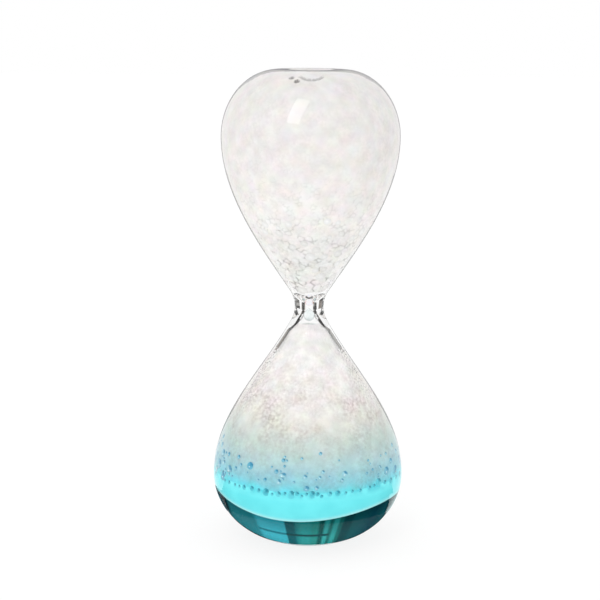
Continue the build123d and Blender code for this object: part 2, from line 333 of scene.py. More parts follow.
# %% Rugs, mats and the veil
EDGE_RADIUS, EDGE_HEIGHT, EDGE_REACH = 0.60, 0.36, 20
RUG_INNER, RUG_OUTER, RUG_REACH, RUG_LEVEL = 0.09, 0.60, 24, 0.0005
SIDE_INNER, SIDE_OUTER, SIDE_REACH = 0.029, 0.052, 85
MAT_RADIUS, MAT_LEVEL = 0.029, -0.0002
APRON_INNER, APRON_DARK, APRON_OUTER, APRON_REACH, APRON_LEVEL = 0.0155, 0.065, 0.10, 105, 0.0003
VEIL_DISTANCE, VEIL_LEFT, VEIL_RIGHT, VEIL_LOW, VEIL_HIGH = 0.045, -0.07, 0.03, 0.04, 0.1295
VEIL_COVER = 0.96


def fading(tree):
    """Dark near the foot of the glass, and white farther out."""
    place = add_node(tree, "ShaderNodeTexCoord")
    away = add_node(tree, "ShaderNodeVectorMath", {0: place.outputs["Object"]}, operation="LENGTH")
    share = add_node(tree, "ShaderNodeMapRange", {"Value": away.outputs["Value"], "From Min": APRON_DARK,
                                                  "From Max": APRON_OUTER})
    fade = add_node(tree, "ShaderNodeValToRGB", {"Fac": share})
    set_ramp(fade, [(0.0, linear("#101414")), (1.0, linear("#fdfdfd"))])
    return fade


bent_card("edge_card", (EDGE_RADIUS, CARD_FOOT), (EDGE_RADIUS, EDGE_HEIGHT), -EDGE_REACH, EDGE_REACH,
          card_surface("silver_card", "#8c8c90"), "reflected")
bent_card("edge_rug", (RUG_INNER, RUG_LEVEL), (RUG_OUTER, RUG_LEVEL), -RUG_REACH, RUG_REACH,
          card_surface("grey_rug", "#85878a"), "reflected")
for start, end, colour in ((-SIDE_REACH, 0, "#2a3236"), (0, SIDE_REACH, "#eafcfb")):
    bent_card("side_rug", (SIDE_INNER, RUG_LEVEL), (SIDE_OUTER, RUG_LEVEL), start, end,
              card_surface("plain_rug", colour), "reflected")
bent_card("foot_mat", (0.0, MAT_LEVEL), (MAT_RADIUS, MAT_LEVEL), -180, 180,
          card_surface("grey_mat", "#959d9d"), "refracted")
bent_card("front_mat", (MAT_RADIUS, MAT_LEVEL), (APRON_OUTER, MAT_LEVEL), 180 - APRON_REACH,
          180 + APRON_REACH, black, "refracted")
bent_card("dark_apron", (APRON_INNER, APRON_LEVEL), (APRON_OUTER, APRON_LEVEL), 180 - APRON_REACH,
          180 + APRON_REACH, card_surface("fading_card", fading), "reflected")
veil = [(VEIL_LEFT, VEIL_LOW), (VEIL_RIGHT, VEIL_LOW), (VEIL_RIGHT, VEIL_HIGH), (VEIL_LEFT, VEIL_HIGH)]
card("window_veil", [(x, -VEIL_DISTANCE, z) for x, z in veil], [(0, 1, 2, 3)],
     card_surface("white_veil", "#ffffff", VEIL_COVER), "both")

# %% [markdown]
# Nearly every piece here is turned: a half section spun about the axis. The half section of the glass is an
# arc at the waist, a smooth curve out to the widest place and a quarter ellipse into the flat end, the same
# curve that the CAD model uses. Moved inwards by the wall's thickness, it is the inside of the glass, and
# moved a little less it is the skin of the foam. A traced outline would have to be traced for each of
# these, and a formula gives them all. Sizes are in millimetres.

# %% The turned profile
NECK_RADIUS, FLARE_RADIUS = 4.2, 8.4
BORE_RADIUS, BORE_HALF = 1.6, 1.2
FUNNEL_LOW, FUNNEL_UP = 7.5, 5.0    # the bore opens into the bulbs over these lengths
WALL, END_WALL = 1.3, 2.0
LOWER = dict(sign=-1, height=69.0, radius=28.0, widest=50.3, flat=13.0, center=4.2, angle=28.3)
UPPER = dict(sign=1, height=68.5, radius=25.7, widest=49.4, flat=9.4, center=9.4, angle=33.8)
TOP = NECK_HEIGHT + UPPER["height"]
FLARE_POINTS, CONE_POINTS, SHOULDER_POINTS = 20, 60, 60


def bezier(first, second, third, fourth, steps):
    """Points of a cubic curve, without its first point."""
    t = np.linspace(0, 1, steps + 1)[1:, None]
    first, second, third, fourth = (np.asarray(p, float) for p in (first, second, third, fourth))
    return (1 - t)**3 * first + 3 * t * (1 - t)**2 * second + 3 * t**2 * (1 - t) * third + t**3 * fourth


def bulb_wall(bulb, inset, end_inset):
    """Points (radius, height) of a bulb's wall from the neck on, moved into the glass by inset."""
    round_radius = FLARE_RADIUS + inset
    last = math.radians(bulb["angle"])
    turn = np.linspace(0, last, FLARE_POINTS)
    flare = np.c_[NECK_RADIUS + FLARE_RADIUS - round_radius * np.cos(turn), round_radius * np.sin(turn)]
    end = np.array([bulb["radius"] - inset, bulb["widest"]])
    handle = np.hypot(*(end - flare[-1])) / 3
    slope = np.array([math.sin(last), math.cos(last)])
    cone = bezier(flare[-1], flare[-1] + handle * slope, end - [0, handle], end, CONE_POINTS)
    across = bulb["radius"] - bulb["center"]
    share = (bulb["flat"] - bulb["center"]) / across
    along = (bulb["height"] - bulb["widest"]) / math.sqrt(1 - share**2) - inset
    rise = bulb["height"] - end_inset - bulb["widest"]
    swing = np.linspace(0, math.asin(min(1, rise / along)), SHOULDER_POINTS + 1)[1:]
    shoulder = np.c_[bulb["center"] + (across - inset) * np.cos(swing),
                     bulb["widest"] + along * np.sin(swing)]
    wall = np.vstack([flare, cone, shoulder])
    return np.c_[wall[:, 0], NECK_HEIGHT + bulb["sign"] * wall[:, 1]]


def between(points, low, high):
    """The stretch of a wall between two heights, from the bottom up, with points on both ends."""
    points = points[np.argsort(points[:, 1])]
    inside = points[(points[:, 1] > low) & (points[:, 1] < high)]
    ends = [[np.interp(z, points[:, 1], points[:, 0]), z] for z in (low, high)]
    return np.vstack([ends[:1], inside, ends[1:]])


def even(points, spacing):
    """The same line with points about a spacing apart."""
    points = np.asarray(points, float)
    lengths = np.r_[0, np.cumsum(np.hypot(*np.diff(points, axis=0).T))]
    marks = np.linspace(0, lengths[-1], max(2, int(lengths[-1] / spacing) + 1))
    return np.c_[np.interp(marks, lengths, points[:, 0]), np.interp(marks, lengths, points[:, 1])]


print("timer", TOP, "mm tall,", 2 * LOWER["radius"], "mm wide")

# %% [markdown]
# A turned piece is a stack of rings of points, joined by faces, and a ring of one point closes an end. A
# Screw modifier could spin an outline too, but foam cells are pressed into the mesh point by point later, so
# the points are made here. A finished piece then gets its material and the body that it rides on, and the
# CAD pieces that it stands for are hidden.

# %% Mesh tools
SHARP_EDGE = math.radians(40)


def mesh_piece(name, spots, faces):
    """A smooth mesh object from points in millimetres."""
    mesh = bpy.data.meshes.new(name)
    mesh.from_pydata((np.asarray(spots) * MM).tolist(), [], faces)
    mesh.shade_smooth()
    mesh.set_sharp_from_angle(angle=SHARP_EDGE)
    piece = bpy.data.objects.new(name, mesh)
    bpy.context.collection.objects.link(piece)
    return piece


def ringed(name, rings, closed=False):
    """A mesh object from rings of points in millimetres. A ring of one point closes an end."""
    sides = max(len(ring) for ring in rings)
    spots, marks, faces = [], [], []
    for ring in rings:
        marks.append([len(spots) + j % len(ring) for j in range(sides)])
        spots.extend(ring)
    for one, two in zip(marks, marks[1:] + marks[:1] if closed else marks[1:]):
        for j in range(sides):
            k = (j + 1) % sides
            face = list(dict.fromkeys([one[j], one[k], two[k], two[j]]))
            if len(face) > 2:
                faces.append(face)
    return mesh_piece(name, spots, faces)


def spun(name, outline, segments=160, closed=False):
    """A mesh object made by spinning (radius, height) points, in millimetres, about the axis."""
    angles = np.linspace(0, 2 * math.pi, segments, endpoint=False)
    rings = []
    for radius, height in outline:
        around = angles if radius > 1e-6 else angles[:1]
        rings.append(np.c_[radius * np.cos(around), radius * np.sin(around), np.full(len(around), height)])
    return ringed(name, rings, closed)


def add_attribute(mesh, label, values):
    """A number for each point of a mesh, for its material to read."""
    mesh.attributes.new(label, "FLOAT", "POINT").data.foreach_set("value", values)


def finish_piece(piece, material, body, slot, *nodes):
    """Gives a piece its material and the body that it moves with, and hides the CAD nodes it stands for."""
    piece.data.materials.append(material)
    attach(piece, body)
    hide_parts(*nodes)
    print(piece.name, len(piece.data.vertices), "points")


# %% [markdown]
# The glass is one body to the eye: two bulbs blown from borosilicate tube and melted together at a thick
# neck. The foot is flat, and the top is pressed into a shallow dent around the fill hole. It could be three
# meshes, like the CAD pieces, but the seams would show as rings of light inside the glass, so one closed
# outline goes up the outside, over the dent and down the inside, through the narrow bore.

# %% Glass body
DENT_RADIUS, DENT_DEPTH, HOLE_RADIUS = 6.8, 2.5, 2.0
DENT_SPHERE = (DENT_RADIUS**2 + DENT_DEPTH**2) / (2 * DENT_DEPTH)
DENT_CENTER = TOP - DENT_DEPTH + DENT_SPHERE
UNDER_SPHERE = DENT_SPHERE + END_WALL
UNDER_EDGE = math.sqrt(UNDER_SPHERE**2 - (DENT_CENTER - (TOP - END_WALL))**2)
FOOT_RINGS, FOOT_SPACING = (1.0, LOWER["flat"] - 0.5), 1.5
FUNNEL_POINTS, BORE_POINTS = 24, 9


def dent_arc(sphere, first, last, steps=16):
    """Points of the dent's round bottom between two radii."""
    radii = np.linspace(first, last, steps)
    return np.c_[radii, DENT_CENTER - np.sqrt(sphere**2 - radii**2)]


def funnel(before, start):
    """Points of a smooth funnel from the end of a wall, through its last two points, to the bore."""
    side = math.copysign(1, start[1] - NECK_HEIGHT)
    end = np.array([BORE_RADIUS, NECK_HEIGHT + side * BORE_HALF])
    handle = np.hypot(*(end - start)) / 3
    slope = (start - before) / np.hypot(*(start - before))
    return bezier(start, start + handle * slope, end + [0, side * handle], end, FUNNEL_POINTS)


inner_low = between(bulb_wall(LOWER, WALL, END_WALL), END_WALL, NECK_HEIGHT - FUNNEL_LOW)[::-1]
inner_up = between(bulb_wall(UPPER, WALL, END_WALL), NECK_HEIGHT + FUNNEL_UP, TOP - END_WALL)[::-1]
low_funnel = funnel(*inner_low[1::-1])
bore = np.linspace(BORE_HALF, -BORE_HALF, BORE_POINTS)[1:-1]
glass_outline = np.vstack([
    [[0, 0]], even([[radius, 0] for radius in FOOT_RINGS], FOOT_SPACING),
    bulb_wall(LOWER, 0, 0)[::-1], bulb_wall(UPPER, 0, 0)[1:],
    dent_arc(DENT_SPHERE, DENT_RADIUS, HOLE_RADIUS),
    dent_arc(UNDER_SPHERE, HOLE_RADIUS, UNDER_EDGE),
    inner_up, funnel(*inner_up[-2:]), np.c_[np.full(len(bore), BORE_RADIUS), NECK_HEIGHT + bore],
    low_funnel[::-1], inner_low, [[0, END_WALL]]])
glass_body = spun("blown_glass_body", glass_outline)
print("glass outline", len(glass_outline), "points")

# %% [markdown]
# Borosilicate glass is colourless, with an index of about 1.47. Blown by hand, it is smooth but never quite
# even, and slow ripples about a centimetre long bend its reflections. Real glass would cast the light inside
# as caustics, which take long to render, so lamps and soft light pass straight through with a faint tint,
# and only what the eye sees is bent.

# %% Glass finish
RIPPLE_LENGTH, RIPPLE_HEIGHT, RIPPLE_STRENGTH = 11 * MM, 0.2 * MM, 0.08


def rippled(tree, length, height, strength):
    """Slow waves in a smooth surface, about a length across."""
    place = add_node(tree, "ShaderNodeTexCoord")
    waves = add_node(tree, "ShaderNodeTexNoise", {"Vector": place.outputs["Object"], "Scale": 1 / length,
                                                  "Detail": 1.0})
    return add_node(tree, "ShaderNodeBump", {"Height": waves.outputs["Fac"], "Distance": height,
                                             "Strength": strength})


def see_through(tree, shader, tint):
    """A clear surface that lets lamps and soft light through, so that what is inside is lit."""
    path = add_node(tree, "ShaderNodeLightPath")
    lamps = add_node(tree, "ShaderNodeMath", {0: path.outputs["Is Shadow Ray"],
                                              1: path.outputs["Is Diffuse Ray"]}, operation="MAXIMUM")
    through = add_node(tree, "ShaderNodeBsdfTransparent", {"Color": linear(tint)})
    return add_node(tree, "ShaderNodeMixShader", {0: lamps, 1: shader, 2: through})


glass, tree = new_material("clear_blown_glass")
wave = rippled(tree, RIPPLE_LENGTH, RIPPLE_HEIGHT, RIPPLE_STRENGTH)
clear = add_node(tree, "ShaderNodeBsdfPrincipled", {"Base Color": linear("#fefefe"), "Roughness": 0.0,
                                                    "IOR": 1.47, "Transmission Weight": 1.0,
                                                    "Normal": wave})
add_node(tree, "ShaderNodeOutputMaterial", {"Surface": see_through(tree, clear, "#fbfbfb")})
finish_piece(glass_body, glass, "glass", "clear_glass", "lower_bulb", "upper_bulb", "neck_tube")

# %% [markdown]
# The soap foam touches the glass, so its skin is a sheet of cells pressed flat against it. Cells differ in
# size, and near the neck they are larger. A regular grid would look like a net. Here seeds are thrown at the
# skin one after the other, and a seed that falls too near to an older one is dropped, which leaves them as
# uneven as bubbles settle.

# %% Foam seeds
SIZE_SPREAD = (0.6, 1.3)         # cells are this much smaller or larger than usual
SEED_TRIES = 60000
SEED_GRID = 3.5                  # millimetres, larger than any cell


def at(table, height):
    """A value read off a table of (height, value) pairs."""
    return np.interp(height, *zip(*table))


def scatter(rng, line, cell_sizes):
    """Seeds spread over a spun wall, about as far apart as the cells there are large."""
    lengths = np.hypot(*np.diff(line, axis=0).T)
    middles = (line[1:] + line[:-1]) / 2
    area = np.cumsum(lengths * middles[:, 0])
    grid, seeds = {}, []
    for _ in range(SEED_TRIES):
        radius, height = middles[int(np.searchsorted(area, rng.random() * area[-1]))]
        angle = rng.random() * 2 * math.pi
        spot = (radius * math.cos(angle), radius * math.sin(angle), height)
        reach = at(cell_sizes, height) * rng.uniform(*SIZE_SPREAD)
        cell = tuple(int(c // SEED_GRID) for c in spot)
        near = (seeds[k] for dx in (-1, 0, 1) for dy in (-1, 0, 1) for dz in (-1, 0, 1)
                for k in grid.get((cell[0] + dx, cell[1] + dy, cell[2] + dz), ()))
        if all((a - spot[0])**2 + (b - spot[1])**2 + (c - spot[2])**2 > reach**2 for a, b, c in near):
            grid.setdefault(cell, []).append(len(seeds))
            seeds.append(spot)
    print(len(seeds), "seeds for foam cells")
    return seeds


def finder_of(spots):
    """A tree that finds the nearest of some points."""
    finder = kdtree.KDTree(len(spots))
    for i, spot in enumerate(spots):
        finder.insert(spot, i)
    finder.balance()
    return finder


# %% [markdown]
# Between the cells run fine grooves, where the films meet the wall. A bump texture could draw them, but then
# the exported mesh would be smooth. Here each point of the mesh finds its three nearest seeds. Where two are
# as near, it lies in a groove and is pushed in, and where three are, it lies in a corner between cells. It
# keeps both, and its cell's own tone, for the finish to read. Where a larger bubble sits in the foam, the
# skin makes room for it, and a bubble that isn't sunk at all leaves a crease, which is darkened with
# painted shade.

# %% Foam cells
CELL_MESH = 0.36                 # millimetres between points of a foam's skin
GROOVE_SHARE, CORNER_SHARE = 0.24, 0.36    # width of a groove and of its corners, as shares of a cell
POCKET_SHARE, POCKET_DEPTH, PAINTED_CREASE_SHADE = 0.85, 0.9, 24


def foam(name, skin, rest, cell_sizes, groove_depths, seed, bubbles=()):
    """A spun foam body: cells and pockets are pressed into its skin, and rest closes its outline."""
    rng = random.Random(seed)
    skin = even(skin, CELL_MESH)
    seeds = scatter(rng, skin, cell_sizes)
    finder = finder_of(seeds)
    sizes, depths = at(cell_sizes, skin[:, 1]), at(groove_depths, skin[:, 1])
    pockets = finder_of([bubble[0] for bubble in bubbles])
    tones = [rng.uniform(-1, 1) for _ in seeds]
    segments = int(2 * math.pi * skin[:, 0].max() / CELL_MESH)
    piece = spun(name, np.vstack([skin, rest]), segments, closed=True)
    mesh = piece.data
    slopes = np.gradient(skin, axis=0)
    normals = np.c_[slopes[:, 1], -slopes[:, 0]] / np.hypot(*slopes.T)[:, None]
    spots = np.empty(len(mesh.vertices) * 3)
    mesh.vertices.foreach_get("co", spots)
    spots = spots.reshape(-1, 3) / MM
    tone, groove, corner = np.zeros((3, len(spots)))
    for i in range(len(skin) * segments):
        (_, k, one), (_, _, two), (_, _, three) = finder.find_n(spots[i], 3)
        ring, part = divmod(i, segments)
        tone[i], groove[i] = tones[k], math.exp(-((two - one) / (GROOVE_SHARE * sizes[ring]))**2)
        corner[i] = math.exp(-((three - one) / (CORNER_SHARE * sizes[ring]))**2)
        push = depths[ring] * groove[i]
        if bubbles:
            _, k, apart = pockets.find(spots[i])
            room = bubbles[k][1] * POCKET_SHARE
            if apart < room:
                push = max(push, room * POCKET_DEPTH * math.sqrt(1 - (apart / room)**2))
                # A crease left by a bubble that isn't sunk is darkened: painted shade
                if bubbles[k][3] == 0:
                    corner[i] = PAINTED_CREASE_SHADE * bubbles[k][1]
        angle = 2 * math.pi * part / segments
        out, rise = normals[ring]
        spots[i] -= push * np.array([out * math.cos(angle), out * math.sin(angle), rise])
    mesh.vertices.foreach_set("co", (spots * MM).ravel())
    for label, values in (("tone", tone), ("groove", groove), ("corner", corner)):
        add_attribute(mesh, label, values)
    mesh.update()
    return piece


# %% [markdown]
# Soap foam is white because every film scatters light, and it takes the colour of the liquid that still
# drains through it. So its colour is a function of height: cyan on the liquid, then pale blue, grey green
# and a warm white, and a slow drift moves these levels up and down. Over that lie faint rainbow tints as
# wide as a few cells, broken grey lines where films meet the glass, and dark grains where the foam is
# coarse, fewer in the middle. Lines and grains have a table each of how strong they are at a height. A
# painted picture could hold all this, but it wouldn't follow if a level changed.

# %% Foam finish
DRIFT_LENGTH, DRIFT_HEIGHT = 9 * MM, 4 * MM
TINT_LENGTH, TINT_DEPTH = 4.0 * MM, 0.14
BREAK_LENGTH, GRAIN_LENGTH, PATCH_LENGTH = 2.5 * MM, 0.9 * MM, 8 * MM
TONE_DEPTH, MOTTLE_LENGTH = 0.05, 3.2 * MM
PORE_LENGTH, PORE_DEPTH, PORE_STRENGTH = 0.9 * MM, 0.2 * MM, 0.12
CALM_START, CALM_END = 5 * MM, 14 * MM    # from the middle, where draining liquid keeps the foam smooth


def foam_material(name, colours, lines, grains, dark, calm, mottling):
    """Foam with its colours, cell lines and grains as tables over height in millimetres."""
    material, tree = new_material(name)
    low, high = colours[0][0], colours[-1][0]
    place = add_node(tree, "ShaderNodeTexCoord")
    spot = place.outputs["Object"]
    axes = add_node(tree, "ShaderNodeSeparateXYZ", {"Vector": spot})
    drift = add_node(tree, "ShaderNodeTexNoise", {"Vector": spot, "Scale": 1 / DRIFT_LENGTH, "Detail": 3.0})
    drifted = add_node(tree, "ShaderNodeMath", {0: drift.outputs["Fac"], 1: DRIFT_HEIGHT,
                                                2: axes.outputs["Z"]}, operation="MULTIPLY_ADD")
    middle = DRIFT_HEIGHT / 2
    share = add_node(tree, "ShaderNodeMapRange", {"Value": drifted, "From Min": low * MM + middle,
                                                  "From Max": high * MM + middle})

    def over_height(table):
        """Colours, or levels from 0 to 1, that change over the height."""
        ramp = add_node(tree, "ShaderNodeValToRGB", {"Fac": share})
        set_ramp(ramp, [((z - low) / (high - low), linear(v) if isinstance(v, str) else (v, v, v, 1.0))
                        for z, v in table])
        return ramp

    def soft_spots(length, start, end, detail=2.0):
        """Spots about a length across, from 0 where their noise is at start to 1 where it is at end."""
        noise = add_node(tree, "ShaderNodeTexNoise", {"Vector": spot, "Scale": 1 / length, "Detail": detail})
        return add_node(tree, "ShaderNodeMapRange", {"Value": noise.outputs["Fac"], "From Min": start,
                                                     "From Max": end})

    # Height, rainbow tints and each cell's own tone make the colour
    tint = add_node(tree, "ShaderNodeTexNoise", {"Vector": spot, "Scale": 1 / TINT_LENGTH, "Detail": 1.0})
    tinge = add_node(tree, "ShaderNodeVectorMath", {0: tint.outputs["Color"], 1: [TINT_DEPTH] * 3,
                                                    2: [1 - TINT_DEPTH / 2] * 3}, operation="MULTIPLY_ADD")
    tinted = add_node(tree, "ShaderNodeVectorMath", {0: over_height(colours), 1: tinge}, operation="MULTIPLY")
    tone, groove, corner = (add_node(tree, "ShaderNodeAttribute", attribute_name=label).outputs["Fac"]
                            for label in ("tone", "groove", "corner"))
    line_level = over_height(lines)
    swing = add_node(tree, "ShaderNodeMath", {0: tone, 1: line_level}, operation="MULTIPLY")
    mottle = add_node(tree, "ShaderNodeMath", {0: soft_spots(MOTTLE_LENGTH, 0.3, 0.7, 1.0), 1: mottling,
                                               2: 1 - mottling / 2}, operation="MULTIPLY_ADD")
    lift = add_node(tree, "ShaderNodeMath", {0: swing, 1: TONE_DEPTH, 2: mottle}, operation="MULTIPLY_ADD")
    toned = add_node(tree, "ShaderNodeVectorMath", {0: tinted, "Scale": lift}, operation="SCALE")

    # Lines are broken up by spots, apart from creases, whose corner value is above 1 and whose painted shade
    # stays whole
    seams = add_node(tree, "ShaderNodeMath", {0: groove, 1: corner}, operation="MAXIMUM")
    broken = add_node(tree, "ShaderNodeMath", {0: seams, 1: soft_spots(BREAK_LENGTH, 0.46, 0.60)},
                      operation="MULTIPLY")
    crease = add_node(tree, "ShaderNodeMath", {0: corner, 1: 1.0}, operation="SUBTRACT")
    whole = add_node(tree, "ShaderNodeMath", {0: broken, 1: crease}, operation="MAXIMUM")
    line = add_node(tree, "ShaderNodeMath", {0: whole, 1: line_level}, operation="MULTIPLY")

    # Grains lie in patches, and there are fewer of them in the middle
    aside = add_node(tree, "ShaderNodeMath", {0: axes.outputs["X"]}, operation="ABSOLUTE")
    rough = add_node(tree, "ShaderNodeMapRange", {"Value": aside, "From Min": CALM_START,
                                                  "From Max": CALM_END, "To Min": calm})
    grain = soft_spots(GRAIN_LENGTH, 0.66, 0.34)
    for factor in (soft_spots(PATCH_LENGTH, 0.30, 0.60), rough, over_height(grains)):
        grain = add_node(tree, "ShaderNodeMath", {0: grain, 1: factor}, operation="MULTIPLY")

    darker = add_node(tree, "ShaderNodeMath", {0: line, 1: grain}, operation="MAXIMUM")
    marked = add_node(tree, "ShaderNodeMix", {0: darker, 6: toned, 7: linear(dark)}, data_type="RGBA",
                      blend_type="MULTIPLY")
    pores = add_node(tree, "ShaderNodeTexVoronoi", {"Vector": spot, "Scale": 1 / PORE_LENGTH})
    relief = add_node(tree, "ShaderNodeBump", {"Height": pores.outputs["Distance"], "Strength": PORE_STRENGTH,
                                               "Distance": PORE_DEPTH})
    skin = add_node(tree, "ShaderNodeBsdfPrincipled", {"Base Color": marked.outputs[2], "Roughness": 0.45,
                                                       "IOR": 1.33, "Normal": relief})
    add_node(tree, "ShaderNodeOutputMaterial", {"Surface": skin})
    print("foam finish", name)
    return material


# %% [markdown]
# Larger bubbles sit in the foam and press against the glass: a row along the liquid's edge, single ones in
# the wet foam, and big cells packed above the neck. At the front they lie where the photograph shows them,
# and at the back they are scattered. High up in the front, an arc of flat bubbles and two specks leave
# creases in the foam. All these places come before the foam, because its skin has to make room for them. A
# particle system could scatter them, but each has to touch a curved wall at its own angle, so each is
# placed by its height and heading on that wall.

# %% Places on the wall
PRESS = 0.10                     # foam and liquid reach this far into the glass, so that no air shows between
END_PRESS = 0.9                  # and this far at the top
SLOPE_STEP = 0.2
SINK = 0.35                      # depth of a bubble's center below the wall, as a share of its radius
inside_low = bulb_wall(LOWER, WALL - PRESS, END_WALL - PRESS)
inside_low = np.vstack([low_funnel[::-1] + [PRESS, 0],
                        inside_low[inside_low[:, 1] < NECK_HEIGHT - FUNNEL_LOW]])
inside_up = bulb_wall(UPPER, WALL - PRESS, END_WALL - END_PRESS)
bubble_wall = bulb_wall(LOWER, WALL - 2 * PRESS, END_WALL)


def wall_at(wall, height):
    """Radius and outward normal (out, up) of a wall at a height."""
    points = wall[np.argsort(wall[:, 1])]
    heights = (height - SLOPE_STEP, height, height + SLOPE_STEP)
    lower, here, upper = np.interp(heights, points[:, 1], points[:, 0])
    out, up = 2 * SLOPE_STEP, lower - upper
    size = math.hypot(out, up)
    return here, out / size, up / size


def bubble_at(wall, angle, height, radius, sink):
    """A bubble against a wall: its center, its radius, the way to the glass and its depth below the glass."""
    wall_radius, out, up = wall_at(wall, height)
    way = np.array([out * math.cos(angle), out * math.sin(angle), up])
    foot = np.array([wall_radius * math.cos(angle), wall_radius * math.sin(angle), height])
    return foot - way * radius * sink, radius, way, radius * sink


def front(degrees):
    """A heading, counted from the front to the right, as an angle from the X axis."""
    return math.radians(degrees - 90)


def low_bubble(degrees, height, radius):
    """A bubble against the wall of the lower bulb."""
    return bubble_at(bubble_wall, front(degrees), height, radius, SINK)


print("walls for bubbles", len(inside_low), len(inside_up), len(bubble_wall), "points")

# %% [markdown]
# The lists give the bubbles at the front one by one, as degrees from the front, height and radius. A rule
# could make such a row too, but it would be too even. The cells above the neck stand in rows that get
# sparser upwards, each row turned by the golden angle, so that none stands right above another.

# %% Bubble places
CYAN_LEVEL, BLUE_LEVEL = 20.6, 36.0
FRONT_RING = [
    (-78, 19.7, 0.7), (-66, 20.0, 0.6), (-61, 19.9, 0.5), (-56, 20.0, 0.6), (-50, 20.0, 0.5),
    (-46, 20.0, 0.5), (-42, 20.1, 0.7), (-36, 20.4, 0.7), (-31, 20.2, 0.6), (-26, 20.1, 1.1),
    (-22, 19.8, 0.45), (-18, 20.0, 0.8), (-14, 20.3, 0.5), (-10, 20.1, 1.15), (-6.6, 20.5, 0.6),
    (-4, 19.8, 0.5), (-1, 20.4, 0.5), (2.4, 20.3, 1.1), (5.6, 20.4, 0.6), (8, 19.8, 0.5),
    (13, 20.3, 0.7), (18, 20.4, 0.8), (23, 20.2, 0.5), (27.5, 20.4, 0.45), (33, 20.3, 0.55),
    (40, 20.4, 0.6), (44, 20.7, 0.5), (48, 21.4, 1.1), (54, 20.6, 0.6), (61, 20.3, 0.8),
    (69, 20.2, 0.6), (77, 20.0, 0.8)]
FRONT_SINGLES = [
    (-64, 21.0, 1.6), (-72, 23.4, 1.5), (-57.5, 23.4, 1.5), (-61, 27.5, 0.6), (-80, 25.2, 0.7),
    (-69, 26.8, 1.2), (-76, 21.4, 1.0), (-83, 22.9, 1.1), (-65.5, 24.7, 1.0), (-75, 28.6, 0.8),
    (-84, 27.4, 0.8), (-78, 30.6, 0.6), (-50, 27.9, 0.6), (-51, 24.6, 0.6), (-39, 26.5, 1.1),
    (-27, 23.6, 0.5), (-16, 25.3, 1.1), (-20, 26.2, 0.6), (-18, 23.4, 0.8), (-16, 29.4, 0.6),
    (-2, 25.2, 0.7), (7, 25.0, 0.5), (23, 25.5, 0.9), (21, 23.9, 0.5), (57, 23.6, 1.2),
    (69, 22.3, 1.5), (80, 24.0, 1.2), (84, 26.6, 0.6), (64, 25.6, 0.8), (8, 31.4, 0.5),
    (-1, 22.0, 0.8), (5, 22.1, 0.6), (76, 26.8, 0.8), (86, 21.8, 0.9), (72, 29.2, 0.6)]
BACK_RING, BACK_SINGLES, SMALL_COUNT = 24, 12, 90
RING_LEVEL, RING_WAVER = CYAN_LEVEL - 0.4, 0.4
RING_BACK, SINGLES_BACK = (95, 265), (100, 260)      # degrees from the front
BACK_SIZES, SMALL_SIZES = (0.5, 1.1), (0.25, 0.5)
SINGLES_RISE, SMALL_RISE, SMALL_SPREAD = (1.5, 6), 1.2, 9
# Creases and specks are pockets in the upper foam, darkened with painted shade
CREASE_HALF, CREASE_LOW, CREASE_RISE, CREASE_RADIUS, CREASE_BUBBLES = 12, 134.7, 0.7, 0.55, 21
SPECKS, SPECK_RADIUS = [(-21, 135.1), (-14, 134.4)], 1.6 * CREASE_RADIUS
ROW_FIRST, ROW_PITCH, ROW_COUNT, ROW_RADIUS, ROW_GAP = 6.8, 3.3, 7, 1.5, 0.1
ROW_SHRINK, ROW_LOSS = 0.06, 0.10    # cells get smaller and rarer from row to row
ROW_SHIFT, ROW_WAVER, ROW_SIZES, ROW_SINK = 0.25, 1.2, (0.6, 1.3), 0.3
GOLDEN_ANGLE = math.pi * (3 - math.sqrt(5))

rng = random.Random(5)
ring = [low_bubble(*bubble) for bubble in FRONT_RING]
ring += [low_bubble(rng.uniform(*RING_BACK), RING_LEVEL + rng.uniform(-RING_WAVER, RING_WAVER),
                    rng.uniform(*BACK_SIZES)) for _ in range(BACK_RING)]
singles = [low_bubble(*bubble) for bubble in FRONT_SINGLES]
singles += [low_bubble(rng.uniform(*SINGLES_BACK), CYAN_LEVEL + rng.uniform(*SINGLES_RISE),
                       rng.uniform(*BACK_SIZES)) for _ in range(BACK_SINGLES)]
singles += [low_bubble(rng.uniform(0, 360), CYAN_LEVEL + SMALL_RISE + SMALL_SPREAD * rng.random()**2,
                       rng.uniform(*SMALL_SIZES)) for _ in range(SMALL_COUNT)]
creases = [bubble_at(inside_up, front(CREASE_HALF * s), CREASE_LOW + CREASE_RISE * s**2, CREASE_RADIUS, 0)
           for s in np.linspace(-1, 1, CREASE_BUBBLES)]
creases += [bubble_at(inside_up, front(degrees), height, SPECK_RADIUS, 0) for degrees, height in SPECKS]
neck_cells = []
for row in range(ROW_COUNT):
    rise = ROW_FIRST + row * ROW_PITCH
    around = wall_at(inside_up, NECK_HEIGHT + rise)[0] - ROW_RADIUS
    count = int(math.pi / math.asin((ROW_RADIUS + ROW_GAP) / around))
    for i in range(count):
        angle = 2 * math.pi * (i + rng.uniform(-ROW_SHIFT, ROW_SHIFT)) / count + row * GOLDEN_ANGLE
        height = NECK_HEIGHT + rise + rng.uniform(-ROW_WAVER, ROW_WAVER)
        radius = ROW_RADIUS * (1 - ROW_SHRINK * row) * rng.uniform(*ROW_SIZES)
        if rng.random() > ROW_LOSS * row:
            neck_cells.append(bubble_at(inside_up, angle, height, radius, ROW_SINK))
print(len(ring), "ring bubbles,", len(singles), "single bubbles,", len(neck_cells), "cells above the neck")

# %% [markdown]
# Three bodies of foam fill the timer. The wet blue foam lies on the liquid, the white foam stands on it up
# to the neck, and the third fills the upper bulb. Down the middle of the lower two runs a channel for the
# falling drop, wider at its mouth, and the upper one has a short channel for the rising bubble. Near the
# neck the foam has come away from the glass, and there the wall shows as a clear band between two grey
# lines. The lower two could be one mesh, but their cells differ, so they only share a finish, in which the
# colours run on from one to the other.

